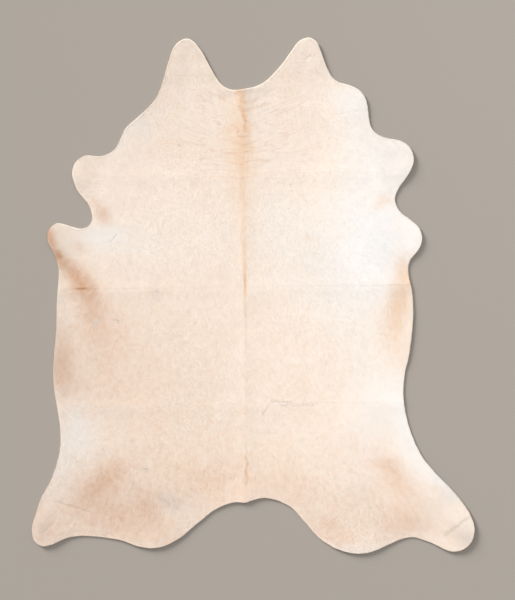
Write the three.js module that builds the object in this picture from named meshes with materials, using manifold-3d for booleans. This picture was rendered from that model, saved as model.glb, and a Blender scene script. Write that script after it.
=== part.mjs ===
// Cowhide rug: one natural hide, hair side up, lying as it was spread out.
// Millimetres, +Z up, +Y towards the neck. The origin is on the surface that the hide lies on,
// under the middle of its box.

import * as THREE from 'three';
import { mergeVertices } from 'three/addons/utils/BufferGeometryUtils.js';
import Module from 'manifold-3d';

// Driving sizes
const HIDE_LENGTH = 2200;
const SPINE_THICKNESS = 5.6;
const BELLY_THICKNESS = 4.6;
const BELLY_DISTANCE = 850;
const RIM_WALL = 2.6;
const CUTTER_DEPTH = 45;
const CUTTER_SLANT = 22;
const FOLD_HALF_WIDTH = 34;
const FOLD_UNEVENNESS = 0.35;
const FOLD_WAVE_LENGTH = 610;

// Fineness of the mesh
const POINTS_PER_MARK = 3;
const GRID_STEP = 60;
const GRID_MARGIN = 30;
const FOLD_STEPS = [-1, -0.5, 0, 0.5, 1];

// The cut edge, clockwise from the neck: a row for each lobe or bay, with the marks it runs through.
const EDGE = [
  { place: 'neck bay', through: [[-137, 899], [-95, 876], [-35, 880], [37, 902]] },
  {
    place: 'right ear',
    through: [
      [114, 974], [165, 1045], [195, 1084], [236, 1100],
      [268, 1084], [287, 1043], [314, 969],
    ],
  },
  { place: 'right cheek', through: [[353, 913], [421, 892], [461, 869], [483, 824], [492, 756]] },
  { place: 'right shoulder bay', through: [[510, 702], [562, 671]] },
  { place: 'right front shank', through: [[634, 658], [674, 619], [684, 572], [662, 519]] },
  { place: 'right armpit', through: [[615, 449], [602, 411], [623, 359], [668, 324]] },
  { place: 'right elbow', through: [[706, 288], [720, 240], [706, 198]] },
  {
    place: 'right flank',
    through: [
      [664, 144], [660, 95], [679, 6], [681, -88],
      [668, -229], [642, -356], [640, -446],
    ],
  },
  { place: 'right thigh', through: [[664, -561], [715, -680], [779, -759], [868, -851], [919, -925]] },
  { place: 'right hind shank', through: [[943, -995], [928, -1053], [885, -1087], [838, -1090]] },
  { place: 'right rear bay', through: [[753, -1051], [672, -1029], [600, -1050]] },
  { place: 'right rump', through: [[515, -1090], [442, -1100], [361, -1082], [280, -1032]] },
  {
    place: 'tail bay',
    through: [
      [208, -951], [153, -896], [55, -862], [-5, -873],
      [-33, -884], [-69, -879], [-146, -903],
    ],
  },
  {
    place: 'left rump',
    through: [
      [-222, -957], [-308, -1030], [-372, -1065],
      [-431, -1077], [-495, -1067],
    ],
  },
  { place: 'left rear bay', through: [[-572, -1041], [-704, -1025], [-781, -1029]] },
  {
    place: 'left hind shank',
    through: [
      [-857, -1061], [-896, -1070], [-932, -1047],
      [-943, -1000], [-925, -926],
    ],
  },
  { place: 'left thigh', through: [[-904, -865], [-857, -779], [-821, -642], [-828, -523]] },
  { place: 'left flank', through: [[-842, -440], [-852, -318], [-839, -148], [-836, -15], [-828, 100]] },
  { place: 'left elbow', through: [[-842, 171], [-873, 225], [-873, 275], [-840, 308]] },
  { place: 'left armpit', through: [[-781, 296], [-721, 284], [-687, 317], [-695, 377]] },
  { place: 'left front shank', through: [[-747, 443], [-771, 509], [-761, 564], [-712, 596]] },
  { place: 'left shoulder bay', through: [[-653, 591], [-593, 618], [-570, 656], [-546, 709]] },
  { place: 'left cheek', through: [[-487, 763], [-423, 827], [-393, 888]] },
  { place: 'left ear', through: [[-359, 1003], [-335, 1062], [-288, 1096], [-242, 1071], [-173, 954]] },
];

// The folds it was stored in, from the rump up: each lies across from the left edge to the right.
const CROSS_FOLDS = [
  { place: 'hips', left: -476, right: -454, rise: 1.8 },
  { place: 'belly', left: 25, right: 46, rise: 2.4 },
  { place: 'shoulders', left: 498, right: 530, rise: 2.0 },
  { place: 'ears', left: 932, right: 994, rise: 1.6 },
];
const CROSS_FOLD_SPAN = { left: -830, right: 680 };
const SPINE_FOLD = { neck: -42, rump: -31, neckY: 880, rumpY: -880, rise: 2.2 };

// Where the edge stands off the floor: the middle of each lifted stretch, its rise and its reach inwards.
const CURLS = [
  { place: 'left ear', x: -290, y: 1105, rise: 5, reach: 190 },
  { place: 'right ear', x: 240, y: 1110, rise: 6, reach: 190 },
  { place: 'right cheek', x: 485, y: 870, rise: 4, reach: 170 },
  { place: 'right front shank', x: 700, y: 580, rise: 7, reach: 200 },
  { place: 'right elbow', x: 735, y: 240, rise: 6, reach: 170 },
  { place: 'right flank', x: 700, y: -150, rise: 3, reach: 230 },
  { place: 'right thigh', x: 820, y: -760, rise: 4, reach: 200 },
  { place: 'right hind shank', x: 950, y: -1050, rise: 8, reach: 230 },
  { place: 'right rump', x: 440, y: -1120, rise: 5, reach: 220 },
  { place: 'tail bay', x: -30, y: -900, rise: 3, reach: 150 },
  { place: 'left rump', x: -430, y: -1095, rise: 5, reach: 220 },
  { place: 'left hind shank', x: -930, y: -1070, rise: 7, reach: 220 },
  { place: 'left flank', x: -870, y: -240, rise: 3, reach: 230 },
  { place: 'left elbow', x: -890, y: 250, rise: 6, reach: 180 },
  { place: 'left front shank', x: -785, y: 540, rise: 6, reach: 180 },
];

// Colour of the short cream coat
const COAT_COLOUR = 0xeadbc9;

// One soft hump: 1 at the middle, level there and at its ends, and nothing beyond them.
function hump(share) {
  const rest = 1 - share * share;
  return rest > 0 ? rest * rest : 0;
}

// A fold's height wavers along it.
function waver(along) {
  return 1 + FOLD_UNEVENNESS * Math.sin((2 * Math.PI * along) / FOLD_WAVE_LENGTH);
}

// A cross fold as a line y = at + slope * x, and the spine fold as a line x = at + slope * y
function crossFoldLine(fold) {
  const slope = (fold.right - fold.left) / (CROSS_FOLD_SPAN.right - CROSS_FOLD_SPAN.left);
  return { at: fold.left - slope * CROSS_FOLD_SPAN.left, slope, rise: fold.rise };
}

function spineFoldLine(fold) {
  const slope = (fold.neck - fold.rump) / (fold.neckY - fold.rumpY);
  return { at: fold.rump - slope * fold.rumpY, slope, rise: fold.rise };
}

const crossLines = CROSS_FOLDS.map(crossFoldLine);
const spineLine = spineFoldLine(SPINE_FOLD);

function foldLift(line, across, along) {
  const offset = across - line.at - line.slope * along;
  return line.rise * hump(offset / FOLD_HALF_WIDTH) * waver(along + line.at);
}

// How far the underside is off the floor
function lift(x, y) {
  const folds = crossLines.map((line) => foldLift(line, y, x));
  folds.push(foldLift(spineLine, x, y));
  const curls = CURLS.map((curl) => curl.rise * hump(Math.hypot(x - curl.x, y - curl.y) / curl.reach));
  return Math.max(...folds) + curls.reduce((total, rise) => total + rise, 0);
}

// Skin and coat together, thickest along the spine
function thickness(x, y) {
  const fromSpine = Math.abs(x - spineLine.at - spineLine.slope * y);
  const share = THREE.MathUtils.smoothstep(fromSpine, 0, BELLY_DISTANCE);
  return THREE.MathUtils.lerp(SPINE_THICKNESS, BELLY_THICKNESS, share);
}

// The closed edge, scaled to the hide's length with its box centred on the origin
function hideOutline() {
  const marks = EDGE.flatMap((row) => row.through).map(([x, y]) => new THREE.Vector3(x, y, 0));
  const curve = new THREE.CatmullRomCurve3(marks, true, 'centripetal');
  const points = curve.getPoints(marks.length * POINTS_PER_MARK).slice(0, -1);
  const box = new THREE.Box3().setFromPoints(points);
  const middle = box.getCenter(new THREE.Vector3());
  const scale = HIDE_LENGTH / (box.max.y - box.min.y);
  return points.map((point) => {
    const fromMiddle = point.sub(middle).multiplyScalar(scale);
    return new THREE.Vector2(fromMiddle.x, fromMiddle.y);
  });
}

// Grid lines from low to high: close together across each fold, and evenly spaced between folds
function gridLines(foldLines, low, high) {
  const keys = [{ at: low, slope: 0 }];
  for (const fold of foldLines) {
    for (const step of FOLD_STEPS) {
      keys.push({ at: fold.at + step * FOLD_HALF_WIDTH, slope: fold.slope });
    }
  }
  keys.push({ at: high, slope: 0 });
  const lines = [keys[0]];
  for (let k = 1; k < keys.length; k += 1) {
    const parts = Math.ceil((keys[k].at - keys[k - 1].at) / GRID_STEP);
    for (let part = 1; part <= parts; part += 1) {
      lines.push({
        at: THREE.MathUtils.lerp(keys[k - 1].at, keys[k].at, part / parts),
        slope: THREE.MathUtils.lerp(keys[k - 1].slope, keys[k].slope, part / parts),
      });
    }
  }
  return lines;
}

// Moves each vertex of a geometry to where place(x, y, z) says.
function shaped(geometry, place) {
  const position = geometry.attributes.position;
  for (let k = 0; k < position.count; k += 1) {
    position.setXYZ(k, ...place(position.getX(k), position.getY(k), position.getZ(k)));
  }
  return geometry;
}

// A lying slab wider than the hide: a box whose grid follows the folds, with its two faces lifted
function foldedSlab(box) {
  const columns = gridLines([spineLine], box.min.x - GRID_MARGIN, box.max.x + GRID_MARGIN);
  const rows = gridLines(crossLines, box.min.y - GRID_MARGIN, box.max.y + GRID_MARGIN);
  const across = columns.length - 1;
  const along = rows.length - 1;
  return shaped(new THREE.BoxGeometry(across, along, 1, across, along, 1), (i, j, side) => {
    const column = columns[Math.round(i + across / 2)];
    const row = rows[Math.round(j + along / 2)];
    const y = (row.at + row.slope * column.at) / (1 - row.slope * column.slope);
    const x = column.at + column.slope * y;
    const top = side > 0 ? thickness(x, y) : 0;
    return [x, y, lift(x, y) + top];
  });
}

// A tall prism of the outline that cuts the edge square, then slants inwards where the coat rounds off
function edgeCutter(outline) {
  const prism = new THREE.ExtrudeGeometry(new THREE.Shape(outline), {
    depth: CUTTER_DEPTH,
    bevelThickness: CUTTER_SLANT,
    bevelSize: CUTTER_SLANT,
    bevelOffset: -CUTTER_SLANT,
    bevelSegments: 1,
  });
  return shaped(prism, (x, y, z) => [x, y, z - CUTTER_DEPTH + RIM_WALL + lift(x, y)]);
}

// Closed geometry to solid, and back
function toSolid(wasm, geometry) {
  geometry.deleteAttribute('normal');
  geometry.deleteAttribute('uv');
  const merged = mergeVertices(geometry);
  return new wasm.Manifold(new wasm.Mesh({
    numProp: 3,
    vertProperties: merged.attributes.position.array,
    triVerts: merged.index.array,
  }));
}

function toGeometry(solid) {
  const mesh = solid.getMesh();
  const geometry = new THREE.BufferGeometry();
  geometry.setAttribute('position', new THREE.BufferAttribute(mesh.vertProperties, mesh.numProp));
  geometry.setIndex(new THREE.BufferAttribute(mesh.triVerts, 1));
  return geometry;
}

function hideMesh(wasm) {
  const outline = hideOutline();
  const box = new THREE.Box2().setFromPoints(outline);
  const solid = toSolid(wasm, foldedSlab(box)).intersect(toSolid(wasm, edgeCutter(outline)));
  const coat = new THREE.MeshStandardMaterial({
    color: COAT_COLOUR,
    roughness: 0.75,
    metalness: 0,
    flatShading: true,
  });
  const hide = new THREE.Mesh(toGeometry(solid), coat);
  hide.name = 'hide';
  return hide;
}

const wasm = await Module();
wasm.setup();

const rug = new THREE.Group();
rug.add(hideMesh(wasm));

export default rug;
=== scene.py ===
"""Cowhide rug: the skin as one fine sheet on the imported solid's outline and lifts, and over it
a short coat of tapered locks that lie along the hair's flow. Metres, +Z up, +Y to the neck."""

import math

import bmesh
import bpy
import numpy as np
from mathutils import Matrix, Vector
from mathutils.bvhtree import BVHTree
from mathutils.geometry import delaunay_2d_cdt


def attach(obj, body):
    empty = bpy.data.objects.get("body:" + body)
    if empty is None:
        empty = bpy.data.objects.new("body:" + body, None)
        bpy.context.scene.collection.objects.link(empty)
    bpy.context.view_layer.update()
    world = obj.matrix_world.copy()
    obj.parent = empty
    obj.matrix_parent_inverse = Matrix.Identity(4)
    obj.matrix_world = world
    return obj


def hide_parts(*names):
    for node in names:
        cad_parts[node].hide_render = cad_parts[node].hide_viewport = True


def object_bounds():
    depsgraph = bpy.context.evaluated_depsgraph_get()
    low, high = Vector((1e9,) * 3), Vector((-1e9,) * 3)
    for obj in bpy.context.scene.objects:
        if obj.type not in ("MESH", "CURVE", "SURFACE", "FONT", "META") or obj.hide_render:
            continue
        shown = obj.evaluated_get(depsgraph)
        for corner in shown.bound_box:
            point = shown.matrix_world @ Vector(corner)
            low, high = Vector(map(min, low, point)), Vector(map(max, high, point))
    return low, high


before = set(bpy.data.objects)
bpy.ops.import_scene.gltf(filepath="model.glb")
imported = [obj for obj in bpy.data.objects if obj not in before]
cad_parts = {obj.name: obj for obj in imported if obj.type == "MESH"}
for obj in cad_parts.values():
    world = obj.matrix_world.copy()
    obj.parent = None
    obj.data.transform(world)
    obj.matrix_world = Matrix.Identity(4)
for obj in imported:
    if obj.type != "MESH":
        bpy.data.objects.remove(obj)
cad_low, cad_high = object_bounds()
NODE = "hide"
BODY = "root"
MM = 0.001


def table(columns, *rows):
    """A list of rows, each with its values under the columns' names"""
    return [dict(zip(columns, row)) for row in rows]


def runs(*rows):
    """Thin lines and small marks: from where to where they run in the photograph, their half-width in
    millimetres, their depth, and how soon they fade towards their ends"""
    return table(("place", "from", "to", "half_width", "depth", "taper"), *rows)


def patches(*rows):
    """Soft markings: an ellipse's middle in the photograph, its two half-lengths, turn and strength"""
    return table(("place", "px", "py", "along", "across", "turn", "strength"), *rows)


# The hide's box in the photograph, in its 515 x 600 pixels, and the size of one pixel on the hide
PHOTO = {"width": 515, "height": 600}
HIDE_PX = {"left": 31.8, "right": 474.6, "top": 37.2, "bottom": 553.5}
PIXEL = (cad_high.y - cad_low.y) / (HIDE_PX["bottom"] - HIDE_PX["top"])
MIDDLE_PX = (HIDE_PX["left"] + HIDE_PX["right"]) / 2
MIDDLE_PY = (HIDE_PX["top"] + HIDE_PX["bottom"]) / 2

# The sheet: how fine its mesh is, finest round the neck, and how deep it lies under the coat's surface
RIM_STEP = 6 * MM
EASE_PASSES = 4
COARSE_STEP = 6.8 * MM
FINE_STEP = 4.0 * MM
FINE_ZONE = {"px": 244, "py": 135, "half_wide": 58, "half_high": 56}
UNDER_STEP = 45 * MM
COAT_DEPTH = 0.6 * MM
SKIN_SHARE = 0.45

# The rim's section, from the top down to the floor: its inset, and its share of the sheet's thickness
RIM_SECTION = table(
    ("inset", "share"),
    (4.0 * MM, 1.0),
    (2.2 * MM, 0.99),
    (0.9 * MM, 0.95),
    (0.2 * MM, 0.82),
    (0.0 * MM, SKIN_SHARE),
    (0.3 * MM, 0.0),
)

# How the coat's surface rounds off at the edge: share of the thickness at each inset
EDGE_ROUNDING = table(
    ("inset", "share"),
    (-3 * MM, 0.80),
    (0 * MM, 0.92),
    (2 * MM, 0.985),
    (5 * MM, 1.0),
)

# The grid that holds the hide's shape and markings, and how the solid's heights are read onto it
FIELD_STEP = 4 * MM
FIELD_MARGIN = 40 * MM
RAY_EVERY = 4
RAY_START = 1.0
EDGE_REACH = 120 * MM
EDGE_PART = 50
FULL_THICKNESS = 0.85
UNDER_BLUR = 16 * MM
THICKNESS_BLUR = 40 * MM
LIFT_SHARE = {"edge": 0.85, "inside": 0.4, "from": 20 * MM, "to": 115 * MM}

# The coat: tapered locks in several pieces
COATS = 4
COAT_SEED = 200
LOCKS_PER_COAT = 196000
LOCK_LENGTH = (9 * MM, 15 * MM)
LOCK_WIDTH = (0.9 * MM, 1.6 * MM)
LOCK_SHORTEST = 0.15
LOCK_SINK = 0.2 * MM
LOCK_RISE = (-0.25 * MM, 0.2 * MM)
LOCK_ROLL = 0.08
LOCK_TILT = 0.012
ROOT_INSET = 0.5 * MM
OVERHANG = 1.2 * MM
FLOW_SCATTER = 7
SHEET_STRAND = 0.4

# The coat's normals: over what distance its slope is taken, and how much of it is kept at the rim
SLOPE_REACH = 4 * MM
RIM_SLOPE = {"share": 0.10, "width": 10 * MM}

# Smooth noises, summed under each name: the size of their lumps, their strength and random seed
NOISES = table(
    ("name", "size", "strength", "seed"),
    ("cut edge", 34 * MM, 0.9 * MM, 11),
    ("cut edge", 14 * MM, 0.45 * MM, 12),
    ("crease", 60 * MM, 1.5 * MM, 21),
    ("fold's depth", 110 * MM, 0.45, 30),
    ("wrinkle's bend", 26, 2.2, 41),
    ("wrinkle's bend", 9, 0.8, 42),
    ("wrinkle", 2.5, 1, 43),
    ("relief", 90 * MM, 0.22 * MM, 51),
    ("relief", 34 * MM, 0.06 * MM, 52),
    ("hair's relief", 9 * MM, 0.012 * MM, 53),
    ("hair's lie", 150 * MM, 12, 61),
    ("stripe's edge", 5, 0.5, 71),
    ("stripe's streaks", 1.6, 0.22, 72),
    ("clumps", 70 * MM, 0.4, 131),
    ("ragged patch", 13, 2.6, 0),
    ("ragged patch", 4, 1.2, 1),
)
NOISE_TURN = math.radians(33)
NOISE_CELLS = 256

# Storage folds: the photograph's rows at which each one meets the left and the right edge
CROSS_FOLDS = table(
    ("place", "left", "right", "crease"),
    ("ears", 76.5, 62.0, 0.5),
    ("shoulders", 178.5, 171.0, 0.5),
    ("belly", 289.5, 284.3, 0.9),
    ("hips", 407.5, 402.0, 0.6),
)
FOLD_SPAN = {"left": 57, "right": 410}
FOLD_EVEN = 0.55
CREASE_HALF_WIDTH = 7 * MM
CREASE_DIP = 0.22 * MM

# The coat's relief: how drawn out its finest lumps are, and how high its wrinkles and grain stand
HAIR_RELIEF_STRETCH = 0.45
WRINKLE_HEIGHT = 0.04 * MM
GRAIN_HEIGHT = 0.006 * MM

# Short creases: a straight run between two places in the photograph, its depth and its half-width
SHORT_CREASES = table(
    ("place", "from", "to", "depth", "half_width"),
    ("left hind shank", (52, 500.5), (90, 511), 1.0, 6),
    ("right hind shank", (440, 538), (469, 519), 1.0, 6),
    ("right shoulder", (328, 113.5), (364, 110), 0.6, 6),
    ("lower scar", (268, 403.5), (315, 404.5), 0.5, 4),
    ("scar's tail", (269, 404), (259, 419), 0.4, 4),
    ("right elbow", (373, 212), (377, 224), 0.4, 5),
    ("left armpit", (126, 198), (123, 218), 0.4, 5),
)
SHORT_WANDER = 0.6
SHORT_END = 0.35

# Thin lines in the coat's colour: painted shade along the storage folds, the short creases and the scar, and
# painted highlights on their lit side
WANDER_SCALE = 30.0
LINE_WANDER = 32 * MM
MARK_WANDER = 12 * MM
LINE_END = 0.25
FOLD_SHADE_LINES = runs(
    ("ears' fold, right", (286, 63.5), (318, 62), 4, 0.14, 1.0),
    ("ears' fold, left", (164, 75), (196, 76), 4, 0.12, 1.0),
    ("shoulders' fold, left", (84, 177.5), (140, 177), 4, 0.08, 1.0),
    ("shoulders' fold, right", (246, 172.8), (386, 172.6), 4, 0.07, 0.6),
    ("belly's fold, left", (56, 289.5), (150, 288.3), 4.5, 0.11, 0.5),
    ("belly's fold, middle", (130, 288.5), (380, 285.3), 4.5, 0.04, 0.3),
    ("belly's fold, right", (368, 285.4), (411, 284.6), 4, 0.22, 0.4),
    ("hips' fold, right", (306, 402.6), (382, 402.2), 4, 0.12, 0.8),
    ("hips' fold, left", (66, 407), (120, 407), 4, 0.08, 0.8),
)
CREASE_SHADE_LINES = runs(
    ("left hind crease", (50, 499.5), (93, 512), 4, 0.42, 0.6),
    ("right hind crease", (444, 535), (473, 514.5), 10, 0.30, 0.3),
    ("right shoulder crease", (328, 113.5), (364, 110), 5, 0.10, 0.6),
    ("scar, upper", (270, 402), (292, 401.5), 7.5, 0.28, 0.2),
    ("scar, lower", (279, 406), (289, 404), 7.5, 0.30, 0.4),
    ("scar, right", (288, 404), (314, 405.5), 7.5, 0.24, 0.3),
    ("scar, end", (296, 403), (316, 403.5), 3.4, 0.16, 0.6),
    ("scar, bend", (270, 402), (266.5, 410), 7.5, 0.22, 0.2),
    ("scar, tail", (266.5, 410), (261.5, 416), 7.5, 0.26, 0.2),
    ("scar, hook", (261.5, 416), (265, 424.5), 3.4, 0.18, 0.4),
    ("loin crease", (222, 419), (219, 426.5), 3.6, 0.24, 0.5),
    ("right elbow crease", (373, 212), (377, 224), 4, 0.10, 0.6),
    ("left armpit crease", (126, 198), (123, 218), 4, 0.12, 0.6),
)
# Painted highlights on the lit side of the scar, the loin crease, the folds and the left shank
HIGHLIGHT_LINES = runs(
    ("scar", (271, 404), (287, 402.6), 5, 0.32, 0.3),
    ("scar, end", (287, 402.6), (318, 404), 4, 0.32, 0.5),
    ("scar, tail", (269.5, 406), (264, 415), 5, 0.32, 0.3),
    ("scar, hook", (260, 416), (263, 424), 4, 0.30, 0.5),
    ("loin crease", (220.5, 418), (217.5, 426), 4, 0.30, 0.5),
    ("belly's fold", (160, 289.6), (360, 286.8), 5, 0.12, 0.3),
    ("hips' fold", (100, 407.5), (230, 405.5), 5, 0.14, 0.3),
    ("left shank", (78, 407), (92, 406.5), 6, 0.50, 0.4),
)

# Small marks in the coat: grey, pale and brown ones drawn as the lines are, and sparse grey specks
MARKS = runs(
    ("left back", (156.5, 290.5), (158, 292), 7, 0.36, 0.0),
    ("left back, tan end", (152, 292.5), (156, 293), 6, 0.24, 0.0),
    ("left flank", (114, 319.5), (118, 321), 7, 0.34, 0.0),
    ("left flank, low", (117.5, 323), (118, 324), 5, 0.3, 0.0),
    ("left flank, speck", (123.5, 315), (124, 315), 4, 0.42, 0.0),
    ("left elbow, curve", (108, 241.5), (113, 239), 3.6, 0.28, 0.4),
    ("left elbow, curve's end", (113, 239), (117, 233.5), 3.6, 0.46, 0.4),
    ("by the knot", (237, 132), (238.5, 130.5), 5, 0.4, 0.0),
    ("right ear", (306, 58), (310, 55.5), 4, 0.48, 0.0),
    ("right ear, low", (289, 80.5), (289.3, 81), 4, 0.3, 0.0),
    ("left shoulder", (178, 145), (180, 145.5), 5, 0.36, 0.0),
    ("right withers", (290, 184.5), (291.5, 183.5), 4, 0.4, 0.0),
    ("right cheek", (358.5, 92), (359.5, 92), 4, 0.2, 0.0),
    ("left ribs", (176, 222), (176.5, 222), 4, 0.3, 0.0),
    ("left rump", (143, 468.5), (149, 470), 6, 0.28, 0.4),
    ("stifle, speck", (103, 449), (104.5, 452), 5, 0.28, 0.0),
)
PALE_MARKS = runs(
    ("left flank", (97.6, 319), (94.8, 325), 12, 0.80, 0.0),
    ("left shank's streak", (72, 405.5), (86, 405.0), 5, 0.30, 0.4),
    ("withers, right", (270.5, 134), (271.5, 134), 9, 0.45, 0.0),
)
BROWN_MARKS = runs(
    ("left fold's dark run", (74.5, 288.6), (88.5, 288.5), 8, 0.80, 1.0),
    ("tail squiggle, top", (244.4, 456), (247.6, 462), 10, 0.18, 0.3),
    ("tail squiggle, bend", (247.6, 462), (247.8, 466), 10, 0.20, 0.0),
    ("tail squiggle, middle", (247.8, 466), (245.8, 471), 10, 0.20, 0.0),
    ("tail squiggle, low", (245.8, 471), (247.6, 478), 11, 0.26, 0.0),
    ("tail squiggle, foot", (247.6, 478), (245.6, 485), 10, 0.18, 0.3),
    ("left elbow's spot", (56.5, 253.5), (61, 257), 12, 0.22, 0.0),
    ("left elbow's spot, low", (58, 267), (63, 269), 10, 0.12, 0.0),
)
SPECKS = {"spacing": 130 * MM, "size": 3.2 * MM, "core": 0.4, "chosen": (0.55, 0.60), "depth": 0.30}

# The neck's wrinkles as lines of painted shade: where they run, climb and fade, in pixels, and the noise
# that draws them
WRINKLES = {
    "spine": 244, "top": 88, "foot": 190, "reach": 92, "top_climb": 0.42, "foot_climb": -0.05,
    "stretch": 0.12, "scale": 46.0, "detail": 1, "roughness": 0.4, "distortion": 0.10,
    "thinness": 0.035, "full": 0.25, "top_fade": 8, "foot_fade": 30, "depth": 0.24,
}

# The same wrinkles as ridges in the skin, in pixels: where they lie, and how they bow and climb
RIDGES = {"half_wide": 42, "aside": (1, 6), "top": (88, 98), "foot": (160, 196), "bow": 0.0008,
          "stretch": 9, "other_side": 50}
RIDGE_CLIMB = table(("py", "climb"), (95, 0.30), (125, 0.26), (160, 0.12), (180, 0.0))

# Which way the hair lies: degrees from straight back to the rump, turned to the photograph's right
FLOW = table(
    ("place", "px", "py", "turn"),
    ("nape", 245, 95, 0),
    ("withers", 245, 170, 0),
    ("back", 245, 300, 0),
    ("loin", 245, 420, 0),
    ("tail", 245, 490, 0),
    ("left ear", 186, 60, -14),
    ("right ear", 308, 60, 14),
    ("left cheek", 160, 115, -30),
    ("right cheek", 345, 105, 30),
    ("left front shank", 85, 172, -72),
    ("right front shank", 403, 158, 72),
    ("left shoulder", 150, 180, -28),
    ("right shoulder", 345, 170, 28),
    ("left elbow", 62, 238, -62),
    ("right elbow", 410, 238, 62),
    ("left flank", 75, 330, -24),
    ("right flank", 395, 320, 24),
    ("left barrel", 160, 320, -13),
    ("right barrel", 330, 320, 13),
    ("left stifle", 72, 430, -34),
    ("right stifle", 402, 430, 34),
    ("left thigh", 80, 490, -30),
    ("right thigh", 425, 490, 34),
    ("left hind shank", 45, 530, -48),
    ("right hind shank", 460, 535, 50),
    ("left rump", 150, 530, 4),
    ("right rump", 355, 535, -4),
)
FLOW_REACH = 22

# The grain of the coat: locks of like colour, each as long and wide as the hair that clings together
GRAIN_SEED = 7
GRAIN_LENGTH = 22 * MM
GRAIN_STEPS = 6
GRAIN_SPREAD = 0.5
GRAIN_EVEN = 0.6
GRAIN_DEPTH = 0.024
TUFT_DEPTH = 0.062
GRAIN_SHARES = {"Red": 0.5, "Green": 0.9, "Blue": 1.5}

# The spine stripe: its middle, half-width and strength at each row, and its strength beyond the rows
SPINE_STRIPE = table(
    ("py", "px", "half", "strength"),
    (86, 239.8, 5.7, 0.53),
    (100, 241.0, 5.0, 0.54),
    (112, 243.0, 3.6, 0.52),
    (118, 244.6, 2.4, 0.82),
    (122, 245.0, 2.6, 0.58),
    (127, 244.8, 3.4, 0.92),
    (133, 243.0, 3.8, 0.52),
    (148, 241.5, 5.4, 0.46),
    (175, 242.0, 5.0, 0.45),
    (205, 242.6, 4.7, 0.30),
    (235, 243.4, 3.7, 0.33),
    (256, 244.2, 2.6, 0.40),
    (272, 244.9, 1.9, 0.52),
    (286, 245.1, 1.6, 0.80),
    (300, 245.4, 1.3, 0.34),
    (320, 245.8, 1.0, 0.32),
    (345, 246.2, 0.9, 0.20),
    (445, 246.6, 0.9, 0.14),
    (457, 246.0, 1.2, 0.26),
    (463, 247.0, 1.3, 0.46),
    (470, 245.6, 1.3, 0.30),
    (478, 247.0, 1.4, 0.34),
    (486, 246.2, 1.4, 0.28),
    (498, 246.0, 1.2, 0.10),
)
STRIPE = {"above": 0.62, "below": 0, "edge": 2.4, "stretch": 0.2}

# Soft markings in the coat's colour, and the tufts where its grain is stronger
PATCH_FALL = 0.7
RAGGED_FROM = 8
TAN_PATCHES = patches(
    ("left elbow's edge", 50, 238, 14, 5, 84, 0.8),
    ("left elbow's spot", 59, 255, 7, 5, 60, 0.84),
    ("left band, upper", 71, 268, 17, 7, 45, 0.54),
    ("left band, middle", 83, 284, 15, 9.5, 58, 0.58),
    ("left band, lower", 91, 306, 24, 11, 68, 0.36),
    ("left flank haze", 104, 345, 45, 30, 80, 0.21),
    ("left flank edge", 62, 364, 26, 10, 88, 0.37),
    ("left flank, low", 72, 385, 22, 14, 40, 0.16),
    ("left rump, dark", 103, 481, 26, 12, -42, 0.46),
    ("left rump, top", 126, 476, 20, 8, 25, 0.08),
    ("left rump, wide", 112, 512, 48, 26, 10, 0.38),
    ("left rump, tail side", 147, 506, 20, 7, 60, 0.26),
    ("left rump, low", 150, 536, 30, 12, 0, 0.12),
    ("tail, left", 208, 482, 36, 20, 0, 0.20),
    ("tail, right", 285, 490, 34, 18, 0, 0.17),
    ("right rump, dark", 393, 474, 26, 11, 50, 0.29),
    ("right rump, top", 383, 463, 14, 7, 10, 0.14),
    ("right rump, wide", 385, 508, 42, 26, 20, 0.19),
    ("right rump, low", 405, 522, 18, 9, 0, 0.24),
    ("right rump, foot", 440, 530, 22, 9, 20, 0.12),
    ("right rump, inner", 330, 530, 24, 14, 30, 0.28),
    ("left armpit", 105, 215, 8, 6, 60, 0.40),
    ("left armpit edge", 98, 205, 8, 4, 45, 0.22),
    ("smudge by left elbow", 82, 246, 6, 4, 30, 0.22),
    ("right flank", 397, 302, 24, 6, 100, 0.13),
    ("left ear", 168, 78, 26, 12, 110, 0.07),
    ("left body haze", 160, 400, 90, 60, 80, 0.13),
    ("left hind shank", 45, 528, 18, 14, 0, 0.26),
    ("left hind shank's edge", 38, 508, 9, 4, -60, 0.20),
)
GINGER_PATCHES = patches(
    ("withers glow", 241, 142, 30, 11, 90, 0.42),
    ("back glow", 243, 200, 46, 9, 90, 0.20),
    ("left of the knot", 231, 128, 6, 2.6, -12, 0.24),
    ("right of the knot", 250, 126, 5, 2.5, -10, 0.24),
    ("right flank, high", 404, 276, 14, 7, 80, 0.44),
    ("right flank, middle", 399, 300, 24, 7.5, 98, 0.34),
    ("right flank, low", 393, 328, 26, 12, 95, 0.28),
    ("right armpit", 382, 201, 8, 5, -40, 0.34),
    ("right back spot", 307, 237, 4, 2.5, 0, 0.18),
    ("left shoulder haze", 170, 146, 12, 7, 0, 0.10),
    ("right rump", 395, 477, 25, 11, 50, 0.1),
    ("loin haze, left", 212, 462, 66, 30, 0, 0.07),
    ("loin haze, right", 290, 474, 56, 26, 0, 0.05),
)
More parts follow.
